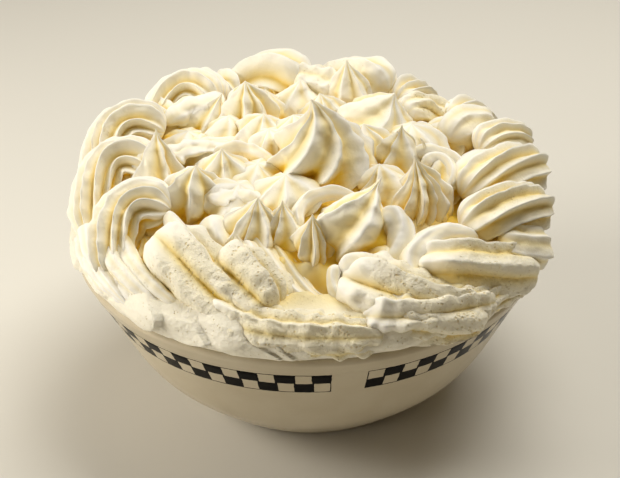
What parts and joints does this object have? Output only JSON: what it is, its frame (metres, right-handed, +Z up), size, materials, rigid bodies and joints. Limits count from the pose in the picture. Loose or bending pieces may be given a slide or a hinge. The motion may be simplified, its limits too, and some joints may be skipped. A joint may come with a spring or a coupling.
{
  "type": "banana cream pie",
  "caption": "Banana cream pie in a deep round stoneware bowl with a checkered band, heaped with ribbed shells of piped whipped cream round a field of pointed kisses.",
  "frame": {"origin": "centre of the bowl's foot, on the surface it stands on", "axes": "+Z up along the bowl's axis, -Y towards the side seen first, +X to the right of it"},
  "size_m": [0.2002, 0.192, 0.1256],
  "materials": {
    "glazed_stoneware": "ivory glaze, softly glossy, with a black and white checkered band under the lip",
    "whipped_cream": "matt sweetened whipped cream, warm white with yellow depths"
  },
  "bodies": {
    "root": {"bowl": "glazed_stoneware", "whipped_cream": "whipped_cream"}
  },
  "joints": []
}
